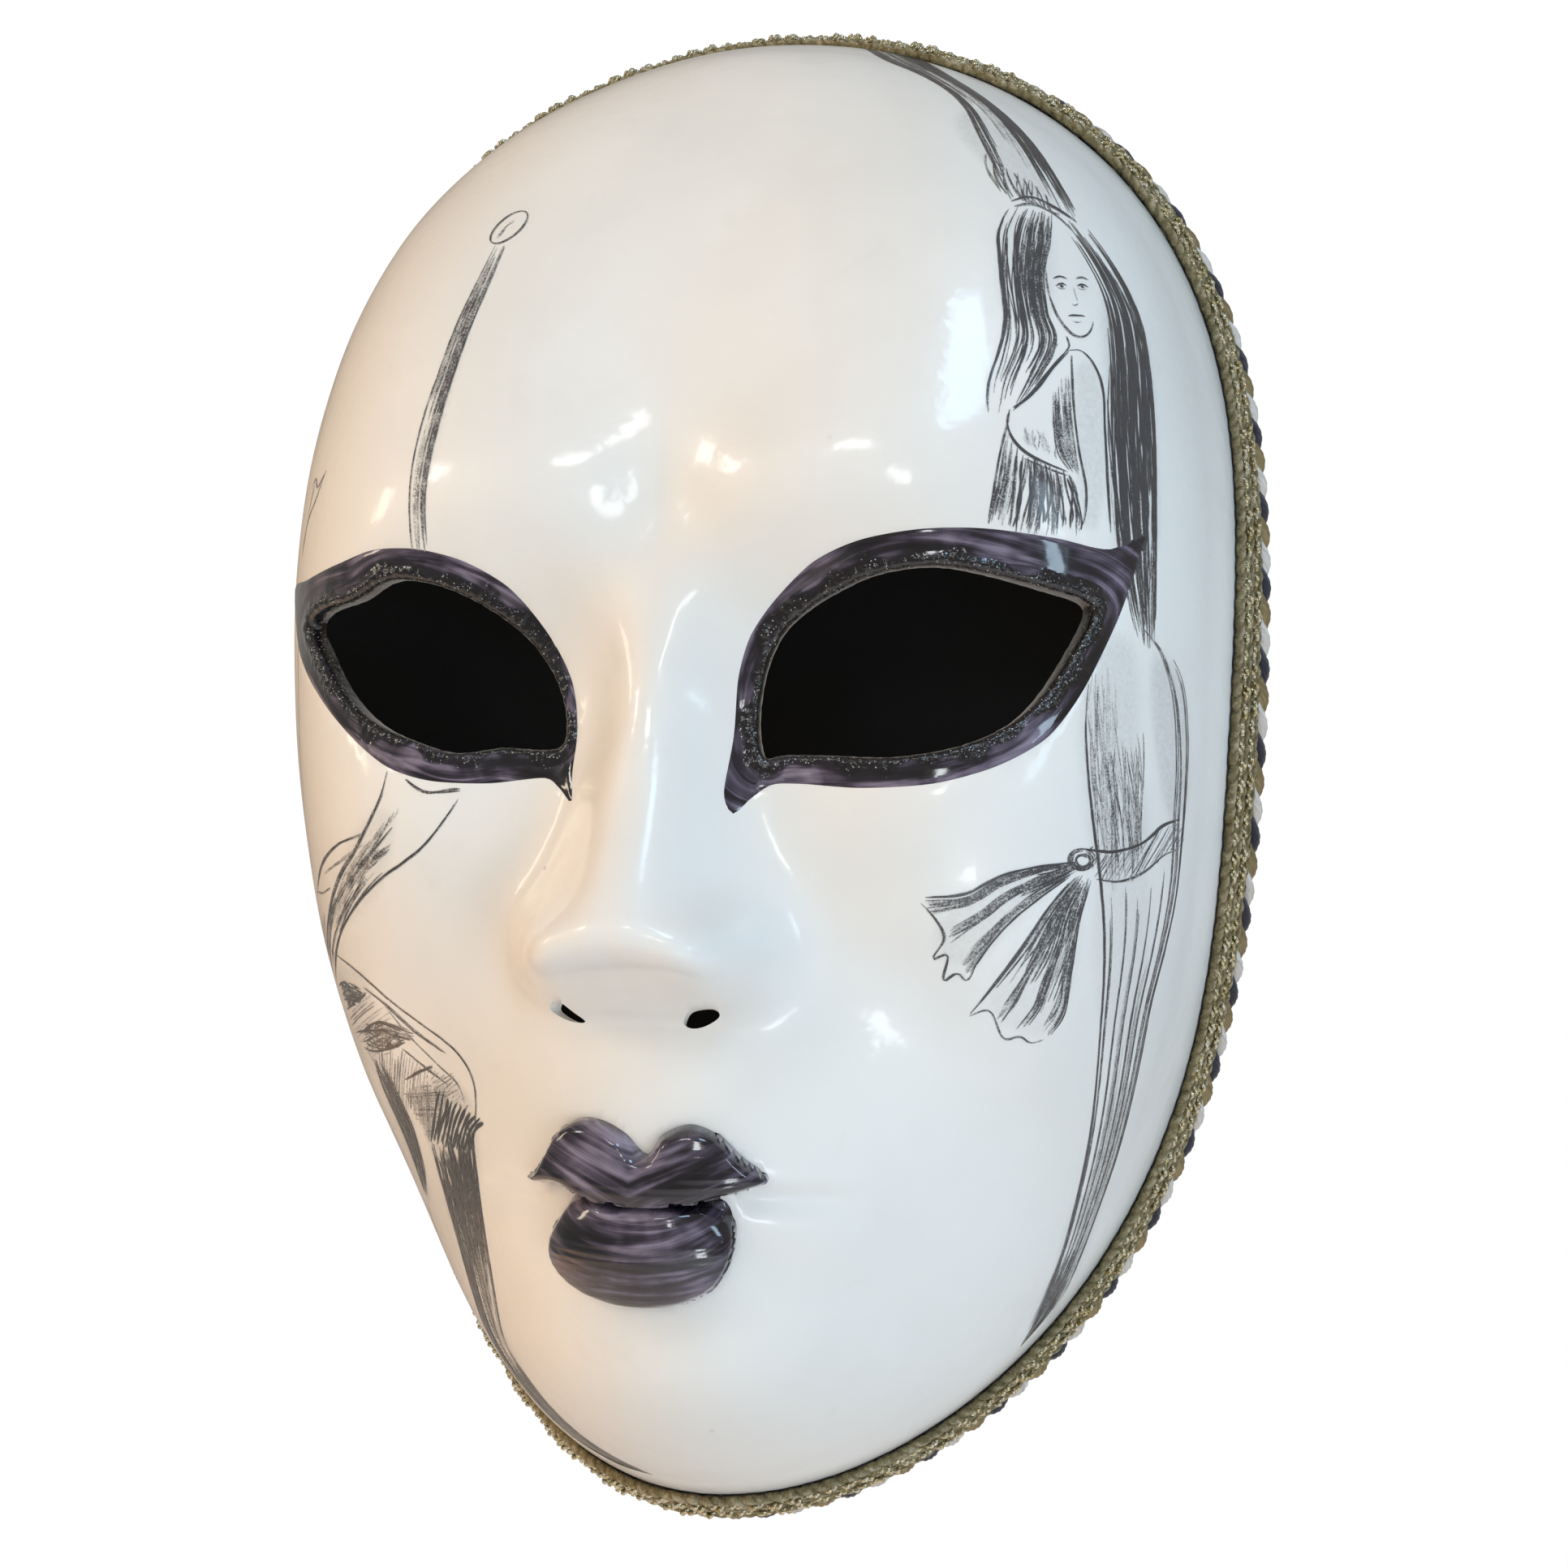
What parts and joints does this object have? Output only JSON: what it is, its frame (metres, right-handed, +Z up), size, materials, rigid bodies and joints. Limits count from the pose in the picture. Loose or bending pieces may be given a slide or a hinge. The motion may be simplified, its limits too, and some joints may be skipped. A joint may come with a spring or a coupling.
{
  "type": "venetian masquerade mask",
  "caption": "Full-face carnival mask: domed lacquered papier-mache shell with almond eye openings, dark lacquer eye bands and lips, gold braid and twisted cord round the rim.",
  "frame": {"origin": "back of the hanging tab, on the face's middle line, 10 mm below the tab's top edge and 4.6 mm below the centre of its hole", "axes": "+Z up, the face looks along -Y, +X is the viewer's right"},
  "size_m": [0.1698, 0.0938, 0.2476],
  "materials": {
    "pearl_lacquer": "papier-mache under glossy pearly white lacquer",
    "dark_lacquer": "glossy brushed purple-black lacquer",
    "braid_ground": "woven khaki and gold braid",
    "gold_thread": "metallic gold thread",
    "cord_satin": "satin cord twisted from black, cream and gold strands",
    "felt": "black felt",
    "card": "plain brown card"
  },
  "bodies": {
    "root": {"face_shell": "pearl_lacquer", "eye_band_left": "dark_lacquer", "eye_band_right": "dark_lacquer", "upper_lip": "dark_lacquer", "lower_lip": "dark_lacquer", "braid_band": "braid_ground", "braid_thread_front": "gold_thread", "braid_thread_back": "gold_thread", "twisted_cord": "cord_satin", "ribbon_patch_left": "felt", "ribbon_patch_right": "felt", "hanging_tab": "card"}
  },
  "joints": []
}
